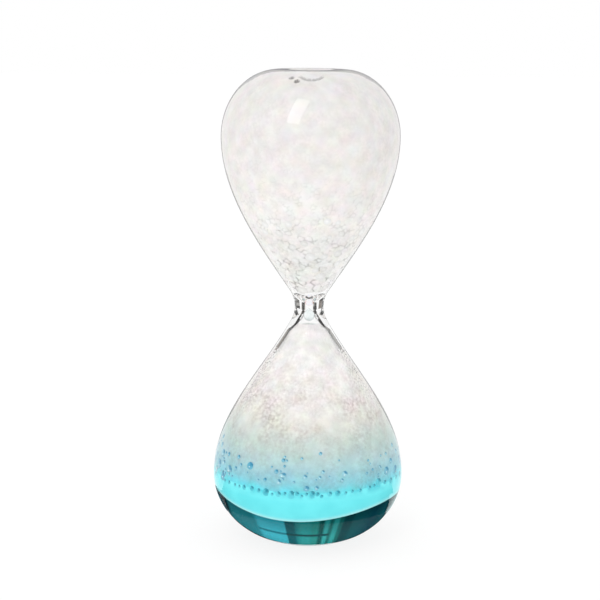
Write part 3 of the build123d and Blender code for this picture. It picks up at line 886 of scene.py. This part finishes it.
# %% Foam finishes and outlines
DROP_CHANNEL, BUBBLE_CHANNEL, CHANNEL_TOP, CHANNEL_MOUTH = 2.4, 2.05, NECK_HEIGHT + 17.75, 0.6
MOUTH_MESH, CHANNEL_MESH, UNDER_MESH = 0.4, 2.0, 1.2    # spacing of points where no cells are pressed in

lower_foam = foam_material(
    "soap_foam_draining",
    [(20.6, "#62e2f0"), (21.4, "#74dae8"), (22.6, "#88d3e1"), (25, "#9ad1dc"), (28, "#b3d5d8"),
     (31, "#bed5d1"), (34, "#cad8d2"), (38, "#dfe0d9"), (42, "#ede9e5"), (50, "#f4f1ee"),
     (57, "#f3f1ef"), (66, "#f1efee")],
    [(20.6, 0.15), (30, 0.12), (36, 0.1), (41, 0.15), (46, 0.25), (53, 0.15), (58, 0.1), (66, 0.1)],
    [(20.6, 0.3), (33, 0.3), (36, 0.45), (39, 0.62), (44, 0.55), (50, 0.36), (57, 0.2), (66, 0.15)],
    "#aa9d9a", 0.75, 0.15)
# Near the neck this foam is painted lighter, to make up for the dimmer light that reaches it there; towards
# the top it turns pale grey
upper_foam = foam_material(
    "soap_foam_white",
    [(72, "#fefdfc"), (84, "#fdfbf9"), (95, "#fcf9f6"), (110, "#f0ecea"), (135, "#e2dfdd")],
    [(72, 0.8), (80, 0.65), (88, 0.5), (97, 0.3), (110, 0.12), (135, 0.05)],
    [(72, 0.3), (84, 0.22), (95, 0.14), (110, 0.1), (135, 0.1)], "#8f8d8a", 1.0, 0.09)


def leave(skin, table):
    """The skin of a foam that has come away from the glass."""
    return skin - np.c_[at(table, skin[:, 1]), np.zeros(len(skin))]


def around_channel(skin, channel):
    """The rest of the outline of a foam with a hole down its axis, from the top of its skin to the bottom."""
    top, bottom = skin[-1], skin[0]
    mouth = [[channel + CHANNEL_MOUTH, top[1]], [channel, top[1] - 2 * CHANNEL_MOUTH]]
    over = even([top, *mouth], MOUTH_MESH)[1:]
    down = even([over[-1], [channel, bottom[1]]], CHANNEL_MESH)[1:]
    return np.vstack([over, down, even([down[-1], bottom], UNDER_MESH)[1:-1]])


# %% [markdown]
# Each foam has tables of how large its cells are at a height and how deep the grooves between them are. One
# size for all could do for the fine wet foam, but the cells grow as the foam drains, to twice that size
# above the neck. The upper foam is closed around the plug's stem, which hangs into it.

# %% Foam bodies
FOAM_LOW_TOP = NECK_HEIGHT - 5.0
FOAM_UP_START = NECK_HEIGHT + FUNNEL_UP + 0.2
FOAM_UP_TOP = TOP - END_WALL + END_PRESS
LEAVES_LOW, LEAVES_UP = ((55, 0.0), (59, 0.3)), ((74, 0.1), (76, 0.0))    # how far the foam is off the glass
WET_CELLS, WET_GROOVES = ((20, 1.0), (36, 1.0)), ((20, 0.08), (36, 0.08))
DRY_CELLS = ((36, 1.0), (50, 1.2), (64, 1.4))
DRY_GROOVES = ((36, 0.08), (44, 0.14), (54, 0.14), (60, 0.1))
TOP_CELLS = ((72, 2.2), (88, 1.8), (105, 1.3), (135, 1.0))
TOP_GROOVES = ((72, 0.14), (85, 0.1), (100, 0.06))
STEM_ROOM, STEM_DEPTH, DENT_ROUND = 3.0, 1.6, 0.3
CHANNEL_TIP = 1.0
TOP_MESH, UP_CHANNEL_MESH = 1.4, 1.0

skin = between(inside_low, CYAN_LEVEL, BLUE_LEVEL)
blue = foam("blue_wet_foam", skin, around_channel(skin, DROP_CHANNEL), WET_CELLS, WET_GROOVES, 11,
            ring + singles)
finish_piece(blue, lower_foam, "glass", "blue_foam", "blue_foam")

skin = leave(between(inside_low, BLUE_LEVEL, FOAM_LOW_TOP), LEAVES_LOW)
white = foam("white_dry_foam", skin, around_channel(skin, DROP_CHANNEL), DRY_CELLS, DRY_GROOVES, 12)
finish_piece(white, lower_foam, "glass", "white_foam", "white_foam")

skin = leave(between(inside_up, FOAM_UP_START, FOAM_UP_TOP), LEAVES_UP)
stem_floor = DENT_CENTER - UNDER_SPHERE - STEM_DEPTH
under_dent = dent_arc(UNDER_SPHERE - PRESS, UNDER_EDGE - DENT_ROUND, STEM_ROOM)
under_top = [skin[-1], [UNDER_EDGE, FOAM_UP_TOP], *under_dent, [STEM_ROOM, stem_floor],
             [STEM_ROOM / 3, stem_floor]]
up_channel = [[CHANNEL_TIP, CHANNEL_TOP], [BUBBLE_CHANNEL, CHANNEL_TOP - CHANNEL_TIP],
              [BUBBLE_CHANNEL, FOAM_UP_START], skin[0]]
rest = np.vstack([even(under_top, TOP_MESH)[1:], [[0, stem_floor], [0, CHANNEL_TOP]],
                  even(up_channel, UP_CHANNEL_MESH)[:-1]])
top = foam("upper_foam_cells", skin, rest, TOP_CELLS, TOP_GROOVES, 13, neck_cells + creases)
finish_piece(top, upper_foam, "glass", "white_foam", "upper_foam")

# %% [markdown]
# Two liquids that don't mix lie at the bottom: a clear teal one, and a milky cyan one on top of it. They are
# still settling, and the teal one stands higher at both sides. A spun shape has one level all round, so here
# rings of points follow the level.

# %% Level between the liquids
LAP = 0.05                       # the two liquids overlap by this, so that no faces coincide
POOL_LEVEL, POOL_LIFT, POOL_TILT, POOL_DROP = 12.1, 3.6, 1.6, 0.9
SHEET_RINGS, WALL_RINGS, HEADINGS = 16, 32, 160
headings = np.linspace(0, 2 * math.pi, HEADINGS, endpoint=False)
lower_wall = inside_low[::-1]


def pool_level(angles):
    """Height of the teal liquid's edge on the wall. It stands higher at both sides."""
    side = np.cos(angles)
    tilt = POOL_TILT * side * (1 - side**2)
    return POOL_LEVEL + POOL_LIFT * side**2 + tilt - POOL_DROP * np.clip(side, 0, 1)**8


def wall_ring(levels):
    """A ring of points on the inside of the lower wall, with a height for each heading."""
    radii = np.interp(levels, lower_wall[:, 1], lower_wall[:, 0])
    return np.c_[radii * np.cos(headings), radii * np.sin(headings), levels]


def sheet(levels):
    """Rings of the surface between the liquids, from the middle out to the wall."""
    middle = np.array([0, 0, POOL_LEVEL])
    rim = wall_ring(levels) - middle
    return [[middle]] + [middle + rim * [s, s, s**2] for s in np.linspace(0, 1, SHEET_RINGS + 1)[1:]]


edge = pool_level(headings)
climb = np.linspace(0, 1, WALL_RINGS)
print("edge between the liquids from", round(edge.min(), 1), "to", round(edge.max(), 1), "mm")

# %% [markdown]
# The teal liquid is dyed water, clear and with an index of about 1.34. It is a real volume. The dye soaks up
# red light along the way, so the liquid is dark where one looks through much of it, and it bends what stands
# behind it into stripes. A tinted surface would be simpler, but as dark at the thin rim as in the middle.

# %% Teal liquid
DYE_DENSITY = 80.0               # per metre
SWIRL_LENGTH = 7 * MM

floor_level = END_WALL - PRESS
depths = edge + LAP - floor_level
pool_rings = [[[0, 0, floor_level]]] + [wall_ring(floor_level + depths * s**2) for s in climb]
deep = ringed("teal_liquid_pool", pool_rings + sheet(edge + LAP)[-2::-1])
deep_look, tree = new_material("clear_dyed_liquid")
swirl = clouded(tree, SWIRL_LENGTH, "#eef8f8", "#ffffff")
water = add_node(tree, "ShaderNodeBsdfPrincipled", {"Base Color": swirl, "Roughness": 0.0, "IOR": 1.34,
                                                    "Transmission Weight": 1.0})
dye = add_node(tree, "ShaderNodeVolumeAbsorption", {"Color": linear("#73f2fa"), "Density": DYE_DENSITY})
add_node(tree, "ShaderNodeOutputMaterial", {"Surface": see_through(tree, water, "#ffffff"), "Volume": dye})
finish_piece(deep, deep_look, "glass", "teal_liquid", "deep_liquid")

# %% [markdown]
# The milky liquid scatters light like thin paint, so its surface is enough, where a scattering volume would
# take long to render. Each point of its wall keeps how far it is above the edge, for a painted highlight
# there, a bright line, and how near it is to the foam, for painted shade in soft darker patches just below
# the foam and its bubbles. Its underside, which is seen through the teal liquid, lies in the dark and gets a
# dark finish of its own, which is painted shade.

# %% Cyan liquid
EDGE_HIGHLIGHT = 0.3                  # width of the bright line
BAND_LENGTH, SHADE_PATCH_LENGTH, SHADE_BAND_DEPTH = 5 * MM, 3 * MM, 2.2

cyan_rings = sheet(edge) + [wall_ring(edge + (CYAN_LEVEL - edge) * s) for s in climb[1:]]
cyan = ringed("cyan_liquid_layer", cyan_rings + [[[0, 0, CYAN_LEVEL]]])
places = np.array([vertex.co for vertex in cyan.data.vertices]) / MM
add_attribute(cyan.data, "shade_band", np.clip(1 - (CYAN_LEVEL - places[:, 2]) / SHADE_BAND_DEPTH, 0, 1))
add_attribute(cyan.data, "above", places[:, 2] - pool_level(np.arctan2(places[:, 1], places[:, 0])))

cyan_look, tree = new_material("milky_cyan_liquid")
above_edge = add_node(tree, "ShaderNodeAttribute", attribute_name="above")
depth = add_node(tree, "ShaderNodeMapRange", {"Value": above_edge.outputs["Fac"], "From Max": 10 * EDGE_HIGHLIGHT})
levels = add_node(tree, "ShaderNodeValToRGB", {"Fac": depth})
# Painted highlight: a pale cyan line just above the edge between the liquids
set_ramp(levels, [(place, linear(colour)) for place, colour in
                  ((0.0, "#b0fcff"), (0.1, "#b0fcff"), (0.4, "#7df8ff"), (1.0, "#7af8ff"))])
# Painted shade: darker teal in soft patches just below the foam and its bubbles
shade_band = add_node(tree, "ShaderNodeAttribute", attribute_name="shade_band")
spots = clouded(tree, SHADE_PATCH_LENGTH, "#000000", "#ffffff")
shade_patches = add_node(tree, "ShaderNodeMath", {0: shade_band.outputs["Fac"], 1: spots}, operation="MULTIPLY")
topped = add_node(tree, "ShaderNodeMix", {0: shade_patches, 6: levels, 7: linear("#40d0e0")}, data_type="RGBA")
veins = clouded(tree, BAND_LENGTH, "#f2f9fa", "#ffffff")
veined = add_node(tree, "ShaderNodeMix", {0: 1.0, 6: topped.outputs[2], 7: veins}, data_type="RGBA",
                  blend_type="MULTIPLY")
milk = add_node(tree, "ShaderNodeBsdfPrincipled", {"Base Color": veined.outputs[2], "Roughness": 0.15,
                                                   "IOR": 1.34})
add_node(tree, "ShaderNodeOutputMaterial", {"Surface": milk})

# Painted shade: the underside is a dark teal copy of the milky finish, since it lies in the dark
underside_shade_look, tree = new_material("milky_cyan_liquid_painted_shade")
underside_shade = clouded(tree, BAND_LENGTH, "#07313a", "#0d434c")
shade = add_node(tree, "ShaderNodeBsdfPrincipled", {"Base Color": underside_shade, "Roughness": 0.3,
                                                    "Specular IOR Level": 0.0})
add_node(tree, "ShaderNodeOutputMaterial", {"Surface": shade})
finish_piece(cyan, cyan_look, "glass", "cyan_liquid", "cyan_liquid")
cyan.data.materials.append(underside_shade_look)
for polygon in cyan.data.polygons[:SHEET_RINGS * HEADINGS]:
    polygon.material_index = 1

# %% [markdown]
# A bubble pressed against glass has a flat window where it touches and a curved film around it, and where
# bubbles crowd they flatten each other. Metaballs would merge them, so each has its own round mesh, and each
# of its points is drawn in towards the center by the glass and by every neighbour. A point keeps how far it
# lies towards the rim, towards the upper right, where painted shade goes, and towards the place of a painted
# highlight, for the finish to read.

# %% Pressed bubbles
FLATTEN = 10                     # the higher, the sharper the edge between a flat place and the round
BUBBLE_GAP = 0.03                # film between two neighbours, to either side of its middle
NEIGHBOUR_REACH, LEAST_REACH = 4, 0.1    # radii within which it is pressed, and millimetres that are left
# Painted shade goes to the upper right of each bubble and a painted highlight towards its lower left, fixed
# to the bubble and not to a lamp
PAINTED_SHADE_SIDE, PAINTED_GLINT_SIDE = (-0.6, -0.8), (0.8, 0.3, 0.52)


def pressed_bubbles(name, bubbles, rings=12, sides=22):
    """Bubbles flattened where they meet the glass and each other."""
    rng = random.Random(len(bubbles))
    centers = np.array([bubble[0] for bubble in bubbles])
    spots, faces, rims, painted_shades, painted_glints, tones = [], [], [], [], [], []
    for center, radius, way, depth in bubbles:
        left = np.cross(way, (0, 0, 1.0))
        left /= np.linalg.norm(left)
        down = np.cross(way, left)
        leans = np.pi * np.repeat(np.arange(1, rings), sides) / rings
        swings = 2 * np.pi * np.tile(np.arange(sides), rings - 1) / sides
        around = np.cos(swings)[:, None] * left + np.sin(swings)[:, None] * down
        ways = np.vstack([way, np.cos(leans)[:, None] * way + np.sin(leans)[:, None] * around, -way])
        reach = np.full(len(ways), float(radius)) ** -FLATTEN
        reach += (depth / np.clip(ways @ way, 1e-6, None)) ** -FLATTEN
        apart = centers - center
        gaps = np.linalg.norm(apart, axis=1)
        for k in np.nonzero((gaps > 1e-6) & (gaps < NEIGHBOUR_REACH * radius))[0]:
            toward = np.clip(ways @ (apart[k] / gaps[k]), 1e-6, None)
            reach += (max(LEAST_REACH, gaps[k] / 2 - BUBBLE_GAP) / toward) ** -FLATTEN
        first = len(spots)
        spots.extend(center + ways * (reach ** (-1 / FLATTEN))[:, None])
        rims.extend(1 - np.clip(ways @ way, 0, 1))
        # Painted shade towards the upper right, and a painted highlight towards the lower left
        painted_shades.extend(np.clip(ways @ (np.array(PAINTED_SHADE_SIDE) @ [left, down]), 0, 1))
        painted_glints.extend(np.clip(ways @ (np.array(PAINTED_GLINT_SIDE) @ [way, left, down]), 0, 1))
        tones.extend([rng.uniform(0, 1)] * len(ways))
        last = first + len(ways) - 1
        for j in range(sides):
            k = (j + 1) % sides
            faces.append([first, first + 1 + j, first + 1 + k])
            for i in range(rings - 2):
                one, two = first + 1 + i * sides, first + 1 + (i + 1) * sides
                faces.append([one + j, two + j, two + k, one + k])
            faces.append([last, last - sides + k, last - sides + j])
    piece = mesh_piece(name, spots, faces)
    for label, values in (("rim", rims), ("shade", painted_shades), ("glint", painted_glints), ("tone", tones)):
        add_attribute(piece.data, label, values)
    print(name, len(bubbles), "bubbles")
    return piece


# %% [markdown]
# Through the flat window one looks into the bubble. The soap film at its rim turns what lies around it
# towards the eye, darker on the upper side, where the liquid above hangs over it, and opposite lies a small
# spot of light. A clear film could show this by itself, if all the foam around it were single bubbles too.
# They would be far too many, so all of it is painted in layers of colour: the rim as a painted reflection,
# painted shade on the upper side and, in the wet foam, a painted highlight opposite. The layers are teal in
# the liquid, blue in the wet foam and pale grey above the neck.

# %% Bubble films
def bubble_material(name, dull, bright, *layers):
    """A bubble behind glass, from dull to bright ones, with layers of a place, a strength and a colour, which
    paint the rim's reflection, shade and a highlight.
    """
    material, tree = new_material(name)
    tone = add_node(tree, "ShaderNodeAttribute", attribute_name="tone")
    ramp = add_node(tree, "ShaderNodeValToRGB", {"Fac": tone.outputs["Fac"]})
    set_ramp(ramp, [(0.0, linear(dull)), (1.0, linear(bright))])
    shown = ramp.outputs["Color"]
    for (label, start, end), strength, colour in layers:
        value = add_node(tree, "ShaderNodeAttribute", attribute_name=label)
        share = add_node(tree, "ShaderNodeMapRange", {"Value": value.outputs["Fac"], "From Min": start,
                                                      "From Max": end, "To Max": strength})
        layer = add_node(tree, "ShaderNodeMix", {0: share, 6: shown, 7: linear(colour)}, data_type="RGBA")
        shown = layer.outputs[2]
    film = add_node(tree, "ShaderNodeBsdfPrincipled", {"Base Color": shown, "Roughness": 0.1, "IOR": 1.33,
                                                       "Specular IOR Level": 0.12})
    add_node(tree, "ShaderNodeOutputMaterial", {"Surface": film})
    return material


# Painted layers: the rim colour is a painted reflection, shade is painted shade and glint is a painted
# highlight
RIM, SHADE, GLINT = ("rim", 0.1, 0.6), ("shade", 0.25, 0.75), ("glint", 0.93, 0.985)
ring_bubbles = pressed_bubbles("liquid_line_bubbles", ring)
ring_look = bubble_material("bubble_film_in_liquid", "#2aa6b9", "#5fd0df",
                            (RIM, 0.5, "#6be6f3"), (SHADE, 0.85, "#158398"))
finish_piece(ring_bubbles, ring_look, "glass", "bubble_film", "ring_bubbles")
wall_bubbles = pressed_bubbles("wet_foam_bubbles", singles)
wall_look = bubble_material("bubble_film_in_wet_foam", "#48a4c4", "#a6d8e4",
                            (RIM, 0.4, "#8ccbd8"), (SHADE, 0.85, "#2486ac"), (GLINT, 0.9, "#f4ffff"))
finish_piece(wall_bubbles, wall_look, "glass", "bubble_film", "wall_bubbles")
neck_bubbles = pressed_bubbles("neck_foam_bubbles", neck_cells)
neck_look = bubble_material("bubble_film_in_white_foam", "#f6f5f2", "#ffffff",
                            (RIM, 0.14, "#a9a7a4"), (SHADE, 0.1, "#a9a7a4"))
finish_piece(neck_bubbles, neck_look, "glass", "bubble_film", "neck_bubbles")

# %% [markdown]
# The timer is filled through a hole at the top. A moulded silicone plug closes it: a stem in the hole and a
# flat head in the dent, with soft edges. It could be two cylinders with bevels, and one spun outline gives
# the same. White silicone is matt and a little cloudy.

# %% Silicone plug
HEAD_RADIUS, HEAD_THICKNESS, STEM_REACH, SEAL_GAP, PLUG_BEVEL = 3.0, 0.7, 0.8, 0.05, 0.15
SILICONE_CLOUD = 0.6 * MM


def dent_height(radius):
    """Height of the dent's surface at a distance from the axis."""
    return DENT_CENTER - math.sqrt(DENT_SPHERE**2 - radius**2)


head_under = dent_height(HEAD_RADIUS) + SEAL_GAP
head_top = head_under + HEAD_THICKNESS
stem_radius = HOLE_RADIUS - SEAL_GAP
stem_end = DENT_CENTER - UNDER_SPHERE - STEM_REACH
plug_outline = [(0, stem_end), (stem_radius - 2 * PLUG_BEVEL, stem_end),
                (stem_radius - 0.5 * PLUG_BEVEL, stem_end + PLUG_BEVEL),
                (stem_radius, stem_end + 2.5 * PLUG_BEVEL), (stem_radius, head_under - PLUG_BEVEL),
                (stem_radius + 0.5 * PLUG_BEVEL, head_under),
                (HEAD_RADIUS - PLUG_BEVEL, head_under), (HEAD_RADIUS, head_under + PLUG_BEVEL),
                (HEAD_RADIUS, head_top - PLUG_BEVEL), (HEAD_RADIUS - PLUG_BEVEL, head_top), (0, head_top)]
plug = spun("silicone_fill_plug", plug_outline, segments=64)
silicone, tree = new_material("moulded_white_silicone")
cloudy = clouded(tree, SILICONE_CLOUD, "#dcdad5", "#efeeea")
rubber = add_node(tree, "ShaderNodeBsdfPrincipled", {"Base Color": cloudy, "Roughness": 0.45, "IOR": 1.41})
add_node(tree, "ShaderNodeOutputMaterial", {"Surface": rubber})
finish_piece(plug, silicone, "glass", "silicone_stopper", "fill_stopper")

# %% [markdown]
# A dab of clear sealant over the plug keeps it in, no higher than the rim of the dent, so that the timer can
# stand on that end too. Squeezed out of a tube, it settles into a round cap, which is an arc spun about the
# axis. Sealant dries clear, with slight waves that break up its shine.

# %% Sealant
BEAD_RADIUS, BEAD_COVER, BEAD_RIM = 4.65, 0.65, 0.1
SEALANT_WAVE, SEALANT_RELIEF, SEALANT_STRENGTH = 1.5 * MM, 0.1 * MM, 0.3

bead_top = head_top + BEAD_COVER
bead_rise = bead_top - dent_height(BEAD_RADIUS) - SEAL_GAP
bead_sphere = (BEAD_RADIUS**2 + bead_rise**2) / (2 * bead_rise)
inner = HEAD_RADIUS + SEAL_GAP
along_dent = dent_arc(DENT_SPHERE, inner, BEAD_RADIUS - BEAD_RIM, steps=8) + [0, SEAL_GAP]
radii = BEAD_RADIUS * np.linspace(0.99, 0.02, 24)
cap = np.c_[radii, bead_top - bead_sphere + np.sqrt(bead_sphere**2 - radii**2)]
over_head = [[0, head_top + SEAL_GAP], [inner, head_top + SEAL_GAP]]
bead = spun("clear_sealant_dab", np.vstack([over_head, along_dent, cap, [[0, bead_top]]]), segments=96)
sealant, tree = new_material("clear_cured_sealant")
waves = rippled(tree, SEALANT_WAVE, SEALANT_RELIEF, SEALANT_STRENGTH)
haze = clouded(tree, SEALANT_WAVE, "#f2f4f1", "#fcfdfc")
gel = add_node(tree, "ShaderNodeBsdfPrincipled", {"Base Color": haze, "Roughness": 0.12, "IOR": 1.41,
                                                  "Transmission Weight": 0.9, "Normal": waves})
add_node(tree, "ShaderNodeOutputMaterial", {"Surface": see_through(tree, gel, "#f0f2f0")})
finish_piece(bead, sealant, "glass", "clear_sealant", "seal_bead")

# %% [markdown]
# Two things move. A drop of pale cyan liquid lets go of the bore and falls through the lower foam. It has
# the tail that a drop has while it tears off: a round belly and a curve up to a tip. A plain ball would be
# simpler, but it would look like a bead. Its liquid is milky, and so little of it is half clear.

# %% Falling drop
DROP_RADIUS, DROP_TAIL, DROP_REST = 1.6, 0.7, 2.6
TAIL_START, TAIL_END = [-0.35, 0.606], [0.3, -0.5]    # handles of the curve, from the belly and from the tip
DROP_SWIRL = 0.9 * MM

drop_center = NECK_HEIGHT - DROP_REST
swing = np.linspace(-math.pi / 2, math.pi / 6, 26)[1:]
belly = np.c_[DROP_RADIUS * np.cos(swing), drop_center + DROP_RADIUS * np.sin(swing)]
tip = np.array([0, drop_center + DROP_RADIUS + DROP_TAIL])
tail = bezier(belly[-1], belly[-1] + TAIL_START, tip + TAIL_END, tip, 12)
drop_outline = np.vstack([[[0, drop_center - DROP_RADIUS]], belly, tail[:-1], [tip]])
drop = spun("falling_liquid_drop", drop_outline, segments=48)
drop_look, tree = new_material("pale_cyan_drop")
swirl = clouded(tree, DROP_SWIRL, "#f6fcfc", "#ffffff")
water = add_node(tree, "ShaderNodeBsdfPrincipled", {"Base Color": swirl, "Roughness": 0.05, "IOR": 1.34,
                                                    "Transmission Weight": 0.35})
add_node(tree, "ShaderNodeOutputMaterial", {"Surface": see_through(tree, water, "#eefcfd")})
finish_piece(drop, drop_look, "drop", "cyan_liquid", "falling_drop")

# %% [markdown]
# A bubble of air goes up through the bore to take the drop's place. It is a ball of soap film a few hundred
# nanometres thick, and that thickness is what gives it its faint colours. They could be painted on, but the
# shader has a thin film of its own, which changes with the angle as a real one does.

# %% Rising bubble
AIR_RADIUS, AIR_REST = 1.25, 1.7
FILM_THICKNESS = 380             # nanometres
FILM_SWIRL = 0.7 * MM

air_center = NECK_HEIGHT + AIR_REST
swing = np.linspace(-math.pi / 2, math.pi / 2, 34)[1:-1]
round_film = np.c_[AIR_RADIUS * np.cos(swing), air_center + AIR_RADIUS * np.sin(swing)]
air_outline = np.vstack([[[0, air_center - AIR_RADIUS]], round_film, [[0, air_center + AIR_RADIUS]]])
air = spun("rising_air_bubble", air_outline, segments=48)
air_look, tree = new_material("thin_soap_film")
swirl = clouded(tree, FILM_SWIRL, "#fbf7fb", "#ffffff")
film = add_node(tree, "ShaderNodeBsdfPrincipled", {"Base Color": swirl, "Roughness": 0.0, "IOR": 1.08,
                                                   "Transmission Weight": 1.0, "Thin Film IOR": 1.33,
                                                   "Thin Film Thickness": FILM_THICKNESS})
add_node(tree, "ShaderNodeOutputMaterial", {"Surface": see_through(tree, film, "#ffffff")})
finish_piece(air, air_look, "bubble", "bubble_film", "rising_bubble")
